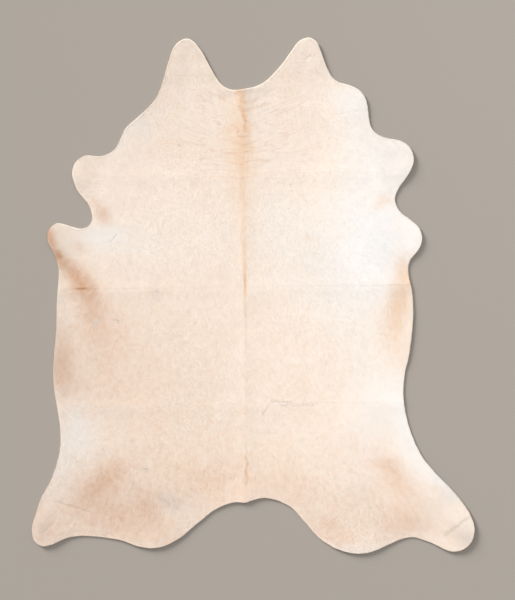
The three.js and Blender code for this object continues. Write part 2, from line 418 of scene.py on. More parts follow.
PALE_PATCHES = patches(
    ("right shoulder", 385, 150, 60, 30, 60, 0.6),
    ("right cheek", 352, 104, 18, 12, 30, 0.62),
    ("right ribs", 375, 240, 60, 34, 90, 0.95),
    ("right barrel", 345, 262, 72, 34, 90, 0.50),
    ("right stifle", 405, 425, 46, 12, 75, 0.80),
    ("right thigh's edge", 438, 478, 26, 7, 46, 0.80),
    ("left belly patch", 80, 430, 26, 13, 80, 0.55),
    ("left stifle", 64, 460, 34, 10, -75, 0.38),
    ("left thigh's edge", 48, 495, 18, 8, -55, 0.25),
    ("left shoulder", 130, 135, 34, 12, -45, 0.25),
    ("left armpit", 103, 235, 22, 9, 0, 0.40),
    ("beside the withers", 258, 118, 26, 9, 90, 0.25),
    ("right loin", 372, 404, 50, 24, 90, 0.52),
    ("left rump, within", 126, 492, 14, 9, 20, 0.22),
    ("right barrel, peach's end", 305, 300, 26, 20, 90, 0.18),
    # Painted highlight: the rump's lower edge drawn paler where it catches the light
    ("right rump's edge", 352, 548, 32, 5, 0, 0.45),
    ("right elbow", 410, 236, 16, 12, 0, 0.60),
    ("right hind shank", 452, 512, 20, 8, 45, 0.22),
    ("left armpit, low", 112, 240, 26, 12, 0, 0.28),
    ("left shoulder, wide", 165, 235, 62, 34, 0, 0.28),
    ("right of the spine", 282, 230, 52, 30, 90, 0.35),
)
TUFTS = patches(
    ("right thigh", 410, 522, 24, 13, 10, 0.95),
    ("right thigh, high", 425, 500, 20, 9, -50, 0.60),
    ("right hind shank", 444, 533, 12, 8, 0, 0.80),
    ("left thigh", 80, 527, 30, 9, 0, 0.80),
    ("left hind shank", 40, 520, 12, 10, 0, 0.60),
    ("left flank edge", 64, 375, 24, 14, 80, 0.65),
    ("left band", 88, 306, 26, 13, 70, 0.60),
    ("left elbow", 52, 236, 16, 8, 80, 0.70),
    ("right flank", 398, 306, 40, 12, 95, 0.50),
    ("left loin", 212, 474, 30, 18, 0, 0.55),
    ("left rump", 115, 495, 40, 24, 0, 0.45),
    ("right rump", 350, 495, 40, 28, 0, 0.35),
)
SMUDGES = patches(
    ("left back", 155.5, 291.5, 5, 3, 0, 0.14),
    ("left rump", 171, 501, 12, 9, 20, 0.52),
    ("left rump, upper", 146, 469, 4, 2.5, 20, 0.40),
    ("right hind shank", 464, 536, 9, 6, 20, 0.60),
    ("right hind shank, high", 462, 526, 8, 6, -45, 0.22),
    ("left hind shank", 44, 532, 12, 9, 0, 0.22),
)

# Flecks over the rump: their share in the body and at its foot, between which rows or columns they grow
MOTTLE = {"body": 0.7, "body_py": (250, 420), "right": 0.4, "right_px": (250, 400),
          "foot": 0.3, "foot_py": (440, 470)}

# Painted shade: the coat is drawn darker towards its outer parts, at the rim and in a few patches, and
# painted light makes it a little brighter over the right of the loin
EDGE_SHADE = {"px": 290, "py": 320, "half_wide": 260, "half_high": 290, "start": 0.55, "end": 1.05, "depth": 0.055}
# Painted shade along the rim, deepest where the edge faces the key light
RIM_SHADE = {"depth": 0.24, "width": 7 * MM, "even": 0.35}
# Painted shade: the outer millimetres of the coat are tinted towards tan over this width
RIM_SHADE_WIDTH = 6 * MM
SHADE_PATCHES = patches(
    ("left cheek", 148, 108, 26, 16, 110, 0.04),
    ("left flank's edge", 54, 330, 44, 10, 90, 0.08),
    ("left elbow", 52, 246, 22, 12, 80, 0.03),
    ("neck's edge", 244, 90.5, 28, 2.5, -6, 0.10),
    ("right flank's edge", 402, 290, 40, 11, 92, 0.035),
    ("right hind shank", 458, 535, 22, 14, 0, 0.05),
    ("left hind shank", 45, 530, 20, 16, 0, 0.035),
    ("foot of the rump", 290, 520, 90, 24, 0, 0.012),
    ("right front shank", 405, 160, 40, 20, 20, 0.02),
)
PAINTED_LIGHT_PATCHES = patches(
    ("right loin", 325, 370, 120, 70, 90, 0.035),
)

# Colours, linear: the creams, the tan and ginger markings and the suede below, with the dark crease colour
# as painted shade; the tan and pale also serve as painted shade and painted highlights
CREAM = (0.868, 0.770, 0.680, 1)
PEACH = (0.853, 0.715, 0.595, 1)
PALE = (0.828, 0.806, 0.784, 1)
ASH = (0.690, 0.640, 0.570, 1)
TAN = (0.592, 0.311, 0.158, 1)
GINGER = (0.765, 0.445, 0.200, 1)
DUSK = (0.560, 0.500, 0.455, 1)
CREASE_SHADE = (0.500, 0.400, 0.310, 1)
SLATE = (0.360, 0.350, 0.370, 1)
BROWN = (0.480, 0.232, 0.085, 1)
SUEDE = (0.520, 0.450, 0.370, 1)
SUEDE_DARK = (0.420, 0.355, 0.285, 1)
FLOOR = (0.318, 0.286, 0.252, 1)

# Lumps in the coat's colour: how fine they are, and how far those between low and high turn it to peach
COAT_LUMPS = table(
    ("name", "scale", "detail", "roughness", "low", "high", "peach"),
    ("broad", 6.0, 2, 0.5, 0.30, 0.70, 0.40),
    ("patchy", 17.0, 3, 0.55, 0.35, 0.65, 0.28),
    ("middle", 42.0, 3, 0.6, 0.35, 0.65, 0.30),
)
FINE_LUMPS = 170.0

# How the markings are laid over the creams, and the span that a noise's lumps keep within
LUMP_SPAN = (0.3, 0.7)
FLECKS = {"low": 0.52, "high": 0.72, "share": 0.12}
BROKEN = {"middle": (0.82, 1.18), "fine": (0.9, 1.1)}
# The rim's share is painted shade, a tan tint along the edge
MARKING_SHARES = {"tan": 0.95, "ginger": 0.80, "knot": 0.18, "smudge": 0.75, "rim": 0.14}
STRAND_SHADES = (0.985, 1.010)

# The surfaces: the noise that makes their nap, its bump, and the roughness between low and high nap
HAIR = {"stretch": (1, 0.16, 1), "scale": 900.0, "bump": 0.10, "depth": 0.6 * MM,
        "roughness": (0.70, 0.84), "specular": 0.12, "sheen": 0.06, "sheen_roughness": 0.45}
NAP = {"scale": 700.0, "bump": 0.6, "depth": 0.5 * MM, "roughness": (0.85, 0.97), "specular": 0.2,
       "rubbed_scale": 9.0, "rubbed": (0.35, 0.7), "least": 0.7}
FLOOR_ROUGHNESS = 0.9
FLOOR_SPECULAR = 0.1

# Light, camera and floor
WORLD_LIGHT = 0.712
KEY_STRENGTH = 7.4
KEY_AZIMUTH = 135
KEY_ELEVATION = 14
KEY_SOFTNESS = 18
FILL_POWER = 16
FILL_SIZE = 2.5
FILL_PLACE = (2.3, 1.9, 2.6)
LENS = 85
SENSOR_HEIGHT = 36
COAT_LEVEL = 5 * MM
FLOOR_HALF = 60.0

# The margin of the pieces' own flat maps, what the fill of the sheet keeps, and the smallest numbers
MAP_MARGIN = 0.02
INSIDE_ONLY = 1
SAME_PLACE = 1e-9
TINY = 1e-6
LEAST_WEIGHT = 1e-4
LAST_CELL = 1.001


def on_hide(px, py):
    """Metres in the frame of a place in the photograph"""
    x = (cad_low.x + cad_high.x) / 2 + (px - MIDDLE_PX) * PIXEL
    y = (cad_low.y + cad_high.y) / 2 + (MIDDLE_PY - py) * PIXEL
    return x, y


def in_photo(x, y):
    """The photograph's pixel of a place in the frame"""
    px = MIDDLE_PX + (x - (cad_low.x + cad_high.x) / 2) / PIXEL
    py = MIDDLE_PY - (y - (cad_low.y + cad_high.y) / 2) / PIXEL
    return px, py


def column(rows, key):
    return np.array([row[key] for row in rows], float)


def smoothstep(values, low, high):
    share = np.clip((values - low) / (high - low), 0, 1)
    return share * share * (3 - 2 * share)


def noise(x, y, size, seed):
    """Smooth noise from -1 to 1 with lumps about size across"""
    cells = np.random.default_rng(seed).uniform(-1, 1, (NOISE_CELLS, NOISE_CELLS))
    u = (x * math.cos(NOISE_TURN) + y * math.sin(NOISE_TURN)) / size
    v = (y * math.cos(NOISE_TURN) - x * math.sin(NOISE_TURN)) / size
    i, j = np.floor(u).astype(int), np.floor(v).astype(int)
    fu, fv = smoothstep(u - i, 0, 1), smoothstep(v - j, 0, 1)

    def corner(across, up):
        return cells[(i + across) % NOISE_CELLS, (j + up) % NOISE_CELLS]

    below = corner(0, 0) * (1 - fu) + corner(1, 0) * fu
    above = corner(0, 1) * (1 - fu) + corner(1, 1) * fu
    return below * (1 - fv) + above * fv


def waves(name, x, y, shift=0):
    """The noises of one name at each place, summed, with the shift added to their seeds"""
    rows = [row for row in NOISES if row["name"] == name]
    return sum(row["strength"] * noise(x, y, row["size"], row["seed"] + shift) for row in rows)


class Field:
    """Values on an even grid over the hide, read between its points"""

    def __init__(self):
        self.low = np.array([cad_low.x, cad_low.y]) - FIELD_MARGIN
        high = np.array([cad_high.x, cad_high.y]) + FIELD_MARGIN
        self.shape = tuple(np.ceil((high - self.low) / FIELD_STEP).astype(int) + 1)
        self.x = self.low[0] + np.arange(self.shape[0]) * FIELD_STEP
        self.y = self.low[1] + np.arange(self.shape[1]) * FIELD_STEP

    def places(self):
        return np.meshgrid(self.x, self.y, indexing="ij")

    def read(self, values, x, y):
        u = np.clip((x - self.low[0]) / FIELD_STEP, 0, self.shape[0] - LAST_CELL)
        v = np.clip((y - self.low[1]) / FIELD_STEP, 0, self.shape[1] - LAST_CELL)
        i, j = u.astype(int), v.astype(int)
        fu, fv = u - i, v - j
        below = values[i, j] * (1 - fu) + values[i + 1, j] * fu
        above = values[i, j + 1] * (1 - fu) + values[i + 1, j + 1] * fu
        return below * (1 - fv) + above * fv


def blurred(values, reach):
    """A soft blur of a grid, reach metres wide"""
    steps = np.arange(-3 * reach, 3 * reach + FIELD_STEP, FIELD_STEP)
    weights = np.exp(-0.5 * (steps / reach) ** 2)
    weights /= weights.sum()
    for axis in (0, 1):
        values = np.apply_along_axis(lambda line: np.convolve(line, weights, "same"), axis, values)
    return values


def underside_loop(mesh):
    """The outline of the solid's underside, as its corners in order"""
    work = bmesh.new()
    work.from_mesh(mesh)
    bmesh.ops.remove_doubles(work, verts=work.verts, dist=TINY)
    neighbours = {}
    for edge in work.edges:
        facing_down = sum(face.normal.z < -0.5 for face in edge.link_faces)
        if facing_down == 1:
            first, second = (vert.index for vert in edge.verts)
            neighbours.setdefault(first, []).append(second)
            neighbours.setdefault(second, []).append(first)
    loops = []
    left = set(neighbours)
    while left:
        loop = [left.pop()]
        while ahead := [k for k in neighbours[loop[-1]] if k in left]:
            loop.append(ahead[0])
            left.discard(ahead[0])
        loops.append(loop)
    work.verts.ensure_lookup_table()
    corners = np.array([work.verts[k].co.xy for k in max(loops, key=len)])
    work.free()
    return corners


def signed_area(loop):
    ahead = np.roll(loop, -1, axis=0)
    return 0.5 * np.sum(loop[:, 0] * ahead[:, 1] - loop[:, 1] * ahead[:, 0])


def even_loop(corners, step):
    """The closed loop again with points an even step apart, counter-clockwise"""
    if signed_area(corners) < 0:
        corners = corners[::-1]
    closed = np.vstack([corners, corners[:1]])
    lengths = np.concatenate([[0], np.cumsum(np.linalg.norm(np.diff(closed, axis=0), axis=1))])
    count = int(round(lengths[-1] / step))
    places = np.linspace(0, lengths[-1], count, endpoint=False)
    return np.column_stack([np.interp(places, lengths, closed[:, axis]) for axis in (0, 1)])


def eased_loop(loop):
    """The loop with its small corners rounded"""
    for _ in range(EASE_PASSES):
        loop = 0.5 * loop + 0.25 * (np.roll(loop, 1, axis=0) + np.roll(loop, -1, axis=0))
    return loop


def outward(loop):
    """The unit normals of a counter-clockwise loop, pointing out"""
    along = np.roll(loop, -1, axis=0) - np.roll(loop, 1, axis=0)
    normals = np.column_stack([along[:, 1], -along[:, 0]])
    return normals / np.linalg.norm(normals, axis=1, keepdims=True)


def cut_edge(mesh):
    """The hide's edge, smooth but for the little waver of a knife cut"""
    loop = even_loop(eased_loop(even_loop(underside_loop(mesh), RIM_STEP)), RIM_STEP)
    return loop + outward(loop) * waves("cut edge", *loop.T)[:, None]


def inside_grid(field, loop):
    """Whether each grid point lies within the loop"""
    inside = np.zeros(field.shape, bool)
    ahead = np.roll(loop, -1, axis=0)
    for j, y in enumerate(field.y):
        crosses = (loop[:, 1] <= y) != (ahead[:, 1] <= y)
        share = (y - loop[crosses, 1]) / (ahead[crosses, 1] - loop[crosses, 1])
        at = np.sort(loop[crosses, 0] + share * (ahead[crosses, 0] - loop[crosses, 0]))
        inside[:, j] = np.searchsorted(at, field.x) % 2 == 1
    return inside


def rim_distance(field, loop):
    """How far each grid point lies inside the edge, or outside it as a negative number"""
    fine = even_loop(loop, RIM_STEP / 2)
    grid_x, grid_y = field.places()
    nearest = np.full(field.shape, EDGE_REACH)
    for start in range(0, len(fine), EDGE_PART):
        part = fine[start:start + EDGE_PART]
        low, high = part.min(axis=0) - EDGE_REACH, part.max(axis=0) + EDGE_REACH
        across = slice(*np.searchsorted(field.x, [low[0], high[0]]))
        up = slice(*np.searchsorted(field.y, [low[1], high[1]]))
        x, y = grid_x[across, up, None], grid_y[across, up, None]
        distance = np.sqrt((x - part[:, 0]) ** 2 + (y - part[:, 1]) ** 2).min(axis=2)
        nearest[across, up] = np.minimum(nearest[across, up], distance)
    return np.where(inside_grid(field, loop), nearest, -nearest)


def solid_heights(field, node):
    """The solid's underside and thickness on the grid, blurred past its facets and its edge"""
    tree = BVHTree.FromObject(node, bpy.context.evaluated_depsgraph_get())
    under = np.full(field.shape, np.nan)
    top = np.full(field.shape, np.nan)
    for i in range(0, field.shape[0], RAY_EVERY):
        for j in range(0, field.shape[1], RAY_EVERY):
            x, y = field.x[i], field.y[j]
            hit = tree.ray_cast(Vector((x, y, -RAY_START)), Vector((0, 0, 1)))[0]
            if hit is not None:
                under[i, j] = hit.z
                top[i, j] = tree.ray_cast(Vector((x, y, RAY_START)), Vector((0, 0, -1)))[0].z
    thick = top - under
    known = ~np.isnan(under)
    full = known & (np.nan_to_num(thick) > np.nanmedian(thick) * FULL_THICKNESS)

    def evened(values, mask, reach):
        total = blurred(np.where(mask, values, 0.0), reach)
        weight = blurred(mask.astype(float), reach)
        return np.where(weight > LEAST_WEIGHT, total / np.maximum(weight, LEAST_WEIGHT), 0.0)

    return evened(under, known, UNDER_BLUR), evened(thick, full, THICKNESS_BLUR)


def fold_line(fold, x):
    """The frame's y of a cross fold at x"""
    left_x, left_y = on_hide(FOLD_SPAN["left"], fold["left"])
    right_x, right_y = on_hide(FOLD_SPAN["right"], fold["right"])
    return left_y + (x - left_x) * (right_y - left_y) / (right_x - left_x)


def segment_share(x, y, start, end):
    """Distance from a straight run, and how far along it, from 0 to 1"""
    (ax, ay), (bx, by) = start, end
    length = math.hypot(bx - ax, by - ay)
    along = ((x - ax) * (bx - ax) + (y - ay) * (by - ay)) / length ** 2
    held = np.clip(along, 0, 1)
    return np.hypot(x - ax - held * (bx - ax), y - ay - held * (by - ay)), held


def crease_mask(x, y):
    """Sharp creases, from 0 to about 1: storage folds, and the short ones at the shanks and shoulder"""
    wander = waves("crease", x, y)
    mask = np.zeros_like(x)
    for number, fold in enumerate(CROSS_FOLDS):
        offset = (y - fold_line(fold, x) + wander) / CREASE_HALF_WIDTH
        uneven = FOLD_EVEN + waves("fold's depth", x, y, number)
        mask = np.maximum(mask, fold["crease"] * uneven * np.exp(-offset ** 2))
    for crease in SHORT_CREASES:
        distance, along = segment_share(x, y, on_hide(*crease["from"]), on_hide(*crease["to"]))
        fade = SHORT_END + (1 - SHORT_END) * np.sqrt(np.clip(4 * along * (1 - along), 0, 1))
        line = np.exp(-((distance + SHORT_WANDER * wander) / (crease["half_width"] * MM)) ** 2)
        mask = np.maximum(mask, crease["depth"] * fade * line)
    return mask


def wrinkles(x, y):
    """Neck wrinkles, from -1 to 1: fine ridges that fan out from the spine and climb to the cheeks"""
    px, py = in_photo(x, y)
    aside = np.abs(px - WRINKLES["spine"])
    climb = np.interp(py, column(RIDGE_CLIMB, "py"), column(RIDGE_CLIMB, "climb"))
    level = py + climb * aside - RIDGES["bow"] * aside ** 2 + waves("wrinkle's bend", px, py)
    across = px / RIDGES["stretch"] + RIDGES["other_side"] * (px > WRINKLES["spine"])
    near = np.exp(-(aside / RIDGES["half_wide"]) ** 2) * smoothstep(aside, *RIDGES["aside"])
    span = smoothstep(py, *RIDGES["top"]) * (1 - smoothstep(py, *RIDGES["foot"]))
    return waves("wrinkle", across, level) * near * span


def relief(x, y):
    """The coat's own unevenness, in metres"""
    lumps = waves("relief", x, y) + waves("hair's relief", x, y * HAIR_RELIEF_STRETCH)
    return lumps + WRINKLE_HEIGHT * wrinkles(x, y) - CREASE_DIP * crease_mask(x, y)


class Hide:
    """Everything that the sheet and the coat share about the hide's shape"""

    def __init__(self, node):
        self.field = Field()
        self.edge = cut_edge(node.data)
        self.distance = rim_distance(self.field, self.edge)
        self.under, self.thick = solid_heights(self.field, node)
        share = smoothstep(self.distance, LIFT_SHARE["from"], LIFT_SHARE["to"])
        self.under *= LIFT_SHARE["edge"] + share * (LIFT_SHARE["inside"] - LIFT_SHARE["edge"])
        x, y = self.field.places()
        self.lie = flow_grid(x, y)
        self.marks = markings(x, y, self.distance)
        self.marks["grain"] = self.grain(x, y)
        self.lift = relief(x, y) + GRAIN_HEIGHT * self.marks["grain"]

    def grain(self, x, y):
        """Random shades smeared along the hair's lie, from about -1 to 1, strongest in the tufts"""
        shades = np.random.default_rng(GRAIN_SEED).standard_normal(x.shape)
        smeared = np.zeros_like(x)
        for along in GRAIN_LENGTH * np.linspace(-0.5, 0.5, GRAIN_STEPS):
            smeared += self.field.read(shades, x + along * np.sin(self.lie), y - along * np.cos(self.lie))
        smeared /= smeared.std()
        clumps = GRAIN_EVEN + waves("clumps", x, y)
        tufts = soft_patches(TUFTS, *in_photo(x, y), seed=121)
        return GRAIN_SPREAD * smeared * (clumps + tufts * TUFT_DEPTH / GRAIN_DEPTH)

    def inset(self, x, y):
        return self.field.read(self.distance, x, y)

    def underside(self, x, y):
        return np.maximum(self.field.read(self.under, x, y), 0)

    def thickness(self, x, y):
        return self.field.read(self.thick, x, y)

    def relief(self, x, y):
        return self.field.read(self.lift, x, y)

    def coat_top(self, x, y):
        """The coat's surface, which rounds off at the edge"""
        insets, shares = column(EDGE_ROUNDING, "inset"), column(EDGE_ROUNDING, "share")
        rounding = np.interp(self.inset(x, y), insets, shares)
        return self.underside(x, y) + self.thickness(x, y) * rounding + self.relief(x, y)

    def flow(self, x, y):
        """The angle of the hair's lie, in radians from straight back to the rump"""
        return self.field.read(self.lie, x, y)


def flow_grid(x, y):
    """The hair's lie at each place: each row of the table draws what is near it"""
    px, py = in_photo(x, y)
    total = np.zeros_like(x)
    weight = np.zeros_like(x)
    for row in FLOW:
        share = 1 / ((px - row["px"]) ** 2 + (py - row["py"]) ** 2 + FLOW_REACH ** 2) ** 2
        total += share * row["turn"]
        weight += share
    return np.radians(total / weight + waves("hair's lie", x, y))


def soft_patches(rows, px, py, seed):
    """The markings of one table, from 0 to 1, with edges broken as hair breaks them"""
    ragged_x = waves("ragged patch", px, py, seed)
    ragged_y = waves("ragged patch", px, py, seed + 2)
    bare = np.ones_like(px)
    for row in rows:
        size = min(1.0, row["across"] / RAGGED_FROM)
        turn = math.radians(row["turn"])
        dx = px - row["px"] + size * ragged_x
        dy = py - row["py"] + size * ragged_y
        along = (dx * math.cos(turn) + dy * math.sin(turn)) / row["along"]
        across = (dy * math.cos(turn) - dx * math.sin(turn)) / row["across"]
        mark = row["strength"] * np.exp(-PATCH_FALL * (along ** 2 + across ** 2))
        bare *= 1 - np.clip(mark, 0, 1)
    return 1 - bare


def spine_stripe(px, py):
    """The stripe along the spine, from 0 to 1"""
    rows, middle, half, strength = (column(SPINE_STRIPE, key) for key in ("py", "px", "half", "strength"))
    offset = (px - np.interp(py, rows, middle) + waves("stripe's edge", px, py)) / np.interp(py, rows, half)
    depth = np.interp(py, rows, strength, left=STRIPE["above"], right=STRIPE["below"])
    streaks = 1 + waves("stripe's streaks", px, py * STRIPE["stretch"])
    return np.clip(depth * streaks * np.exp(-np.abs(offset) ** STRIPE["edge"]), 0, 1)


def mottled(px, py):
    """How thick the flecks are at each place"""
    right = MOTTLE["right"] * smoothstep(px, *MOTTLE["right_px"])
    body = MOTTLE["body"] * smoothstep(py, *MOTTLE["body_py"]) * (1 - right)
    return body + MOTTLE["foot"] * smoothstep(py, *MOTTLE["foot_py"])


def towards_key(inset):
    """How far the edge turns towards the key light, from 0 to 1, which sets the rim's painted shade"""
    slope_x, slope_y = np.gradient(inset, FIELD_STEP)
    azimuth = math.radians(KEY_AZIMUTH)
    facing = -(slope_x * math.cos(azimuth) + slope_y * math.sin(azimuth))
    return np.clip(RIM_SHADE["even"] + (1 - RIM_SHADE["even"]) * facing, 0, 1)


def painted_shading(px, py, inset):
    """Painted shade: how much darker the coat is drawn at each place, negative where painted light brightens
    it
    """
    # Painted shade, darker the farther a place lies from the hide's middle
    outer = np.hypot((px - EDGE_SHADE["px"]) / EDGE_SHADE["half_wide"], (py - EDGE_SHADE["py"]) / EDGE_SHADE["half_high"])
    broad = EDGE_SHADE["depth"] * smoothstep(outer, EDGE_SHADE["start"], EDGE_SHADE["end"])
    patches = soft_patches(SHADE_PATCHES, px, py, seed=141) - soft_patches(PAINTED_LIGHT_PATCHES, px, py, seed=151)
    # Painted shade at the rim, most where the edge faces the key light
    rim = RIM_SHADE["depth"] * (1 - smoothstep(inset, 0, RIM_SHADE["width"])) * towards_key(inset)
    return broad + patches + rim


def markings(x, y, inset):
    """Every marking's share at each place, for the material's nodes, with the painted shade of the rim and
    the outer parts among them
    """
    px, py = in_photo(x, y)
    stripe = spine_stripe(px, py)
    return {
        "tan": soft_patches(TAN_PATCHES, px, py, seed=81),
        "ginger": np.maximum(soft_patches(GINGER_PATCHES, px, py, seed=91), stripe),
        "knot": stripe ** 3,
        "pale": soft_patches(PALE_PATCHES, px, py, seed=101),
        "smudge": soft_patches(SMUDGES, px, py, seed=111),
        "mottle": mottled(px, py),
        # Painted shade: a tan tint along the rim
        "rim": 1 - smoothstep(inset, 0, RIM_SHADE_WIDTH),
        # Painted shade and painted light, which darken or brighten the whole colour
        "painted_shade": painted_shading(px, py, inset),
    }


def new_object(name, points, faces, materials, material_index=None):
    """A smooth mesh of triangles in the scene"""
    mesh = bpy.data.meshes.new(name)
    mesh.vertices.add(len(points))
    mesh.vertices.foreach_set("co", np.asarray(points, np.float32).ravel())
    mesh.loops.add(faces.size)
    mesh.loops.foreach_set("vertex_index", faces.astype(np.int32).ravel())
    mesh.polygons.add(len(faces))
    mesh.polygons.foreach_set("loop_start", np.arange(0, faces.size, 3, dtype=np.int32))
    for material in materials:
        mesh.materials.append(material)
    if material_index is not None:
        mesh.polygons.foreach_set("material_index", material_index.astype(np.int32))
    mesh.update(calc_edges=True)
    mesh.polygons.foreach_set("use_smooth", np.ones(len(faces), bool))
    made = bpy.data.objects.new(name, mesh)
    bpy.context.scene.collection.objects.link(made)
    return made


def store(piece, name, values):
    """One value for each vertex, or one vector"""
    values = np.asarray(values, np.float32)
    kind, key = ("FLOAT", "value") if values.ndim == 1 else ("FLOAT_VECTOR", "vector")
    piece.data.attributes.new(name, kind, "POINT").data.foreach_set(key, values.ravel())


def store_looks(piece, hide, roots, strand, corners):
    """The markings at each root, the root and the lock's own shade, for each of its corners"""
    for name, values in hide.marks.items():
        store(piece, name, np.repeat(hide.field.read(values, *roots.T), corners))
    store(piece, "root", np.repeat(np.column_stack([roots, np.zeros(len(roots))]), corners, axis=0))
    store(piece, "strand", np.repeat(strand, corners))


def flat_place(x, y):
    """A place on the hide as shares of its box"""
    u = MAP_MARGIN + (1 - 2 * MAP_MARGIN) * (x - cad_low.x) / (cad_high.x - cad_low.x)
    v = MAP_MARGIN + (1 - 2 * MAP_MARGIN) * (y - cad_low.y) / (cad_high.y - cad_low.y)
    return u, v


def store_map(piece, u, v):
    """The piece's own flat map, from one place for each vertex"""
    corners = np.empty(len(piece.data.loops), np.int32)
    piece.data.loops.foreach_get("vertex_index", corners)
    places = np.column_stack([u, v]).astype(np.float32)
    piece.data.uv_layers.new(name="OFBake").data.foreach_set("uv", places[corners].ravel())


def lattice(step, keep):
    """An even triangular lattice over the hide's box, kept where keep(x, y) says"""
    rise = step * math.sqrt(3) / 2
    rows = np.arange(cad_low.y, cad_high.y, rise)
    columns = np.arange(cad_low.x, cad_high.x, step)
    x = (columns[None, :] + (np.arange(len(rows)) % 2)[:, None] * step / 2).ravel()
    y = np.repeat(rows, len(columns))
    kept = keep(x, y)
    return np.column_stack([x[kept], y[kept]])


def filled(loop, points):
    """Triangles over the inside of a loop, through the given points"""
    spots = [Vector(spot) for spot in np.vstack([loop, points])]
    made = delaunay_2d_cdt(spots, [], [list(range(len(loop)))], INSIDE_ONLY, SAME_PLACE)
    assert len(made[0]) == len(spots)
    return np.array([face for face in made[2]])


def wrinkled_zone(x, y):
    """Where the sheet is finer, for the wrinkles of the neck"""
    px, py = in_photo(x, y)
    across = (px - FINE_ZONE["px"]) / FINE_ZONE["half_wide"]
    up = (py - FINE_ZONE["py"]) / FINE_ZONE["half_high"]
    return across ** 2 + up ** 2 < 1


def sheet_mesh(hide):
    """Points and triangles of the skin with its undercoat, which triangles are bare skin and which
    points belong to the underside"""
    rim = len(hide.edge)
    normals = outward(hide.edge)
    rings = [hide.edge - normals * row["inset"] for row in RIM_SECTION]
    gap = RIM_SECTION[0]["inset"] + 0.5 * COARSE_STEP
    under_gap = RIM_SECTION[-1]["inset"] + 0.5 * UNDER_STEP
    coarse = lattice(COARSE_STEP, lambda x, y: (hide.inset(x, y) > gap) & ~wrinkled_zone(x, y))
    fine = lattice(FINE_STEP, lambda x, y: (hide.inset(x, y) > gap) & wrinkled_zone(x, y))
    inner = np.vstack([coarse, fine])
    under_inner = lattice(UNDER_STEP, lambda x, y: hide.inset(x, y) > under_gap)

    def height(places, share):
        x, y = places.T
        floor = hide.underside(x, y)
        top = floor + hide.thickness(x, y) - COAT_DEPTH + hide.relief(x, y)
        return floor + share * (top - floor)

    spots = [*rings, inner, under_inner]
    shares = [*column(RIM_SECTION, "share"), 1, 0]
    heights = [height(part, share) for part, share in zip(spots, shares)]
    points = np.column_stack([np.vstack(spots), np.concatenate(heights)])

    last_ring = (len(rings) - 1) * rim
    inner_start = len(rings) * rim
    under_start = inner_start + len(inner)
    upper = filled(rings[0], inner)
    upper = np.where(upper < rim, upper, upper - rim + inner_start)
    lower = filled(rings[-1], under_inner)[:, ::-1]
    lower = np.where(lower < rim, lower + last_ring, lower - rim + under_start)
    here = np.arange(rim)
    ahead = (here + 1) % rim
    strips = []
    for ring in range(len(rings) - 1):
        start, below = ring * rim, (ring + 1) * rim
        strips.append(np.column_stack([start + here, below + here, below + ahead]))
        strips.append(np.column_stack([start + here, below + ahead, start + ahead]))
    faces = np.vstack([upper, *strips, lower])
    bare = np.zeros(len(faces), int)
    bare[len(faces) - len(lower) - 2 * rim:] = 1
    underside = np.zeros(len(points), bool)
    underside[last_ring:inner_start] = True
    underside[under_start:] = True
    return points, faces, bare, underside


def make_sheet(hide, coat, suede):
    """The sheet, with its top mapped to the left half of its map and its underside to the right"""
    points, faces, bare, underside = sheet_mesh(hide)
    sheet = new_object("hide_sheet", points, faces, (coat, suede), bare)
    store_looks(sheet, hide, points[:, :2], np.full(len(points), SHEET_STRAND), 1)
    u, v = flat_place(points[:, 0], points[:, 1])
    store_map(sheet, 0.5 * u + 0.5 * underside, v)
    return sheet


def surface_normals(hide, x, y):
    """The coat's normals, from its slope over a few millimetres"""
    reach = SLOPE_REACH
    slope_x = (hide.coat_top(x + reach, y) - hide.coat_top(x - reach, y)) / (2 * reach)
    slope_y = (hide.coat_top(x, y + reach) - hide.coat_top(x, y - reach)) / (2 * reach)
    inner = smoothstep(hide.inset(x, y), 0, RIM_SLOPE["width"])
    kept = RIM_SLOPE["share"] + (1 - RIM_SLOPE["share"]) * inner
    normals = np.column_stack([-slope_x * kept, -slope_y * kept, np.ones_like(x)])
    return normals / np.linalg.norm(normals, axis=1, keepdims=True)


def scattered_roots(hide, count, random):
    """Places all over the hide, inside its edge"""
    kept = np.empty((0, 2))
    while len(kept) < count:
        tries = random.uniform((cad_low.x, cad_low.y), (cad_high.x, cad_high.y), (count, 2))
        kept = np.vstack([kept, tries[hide.inset(*tries.T) > ROOT_INSET]])
    return kept[:count]


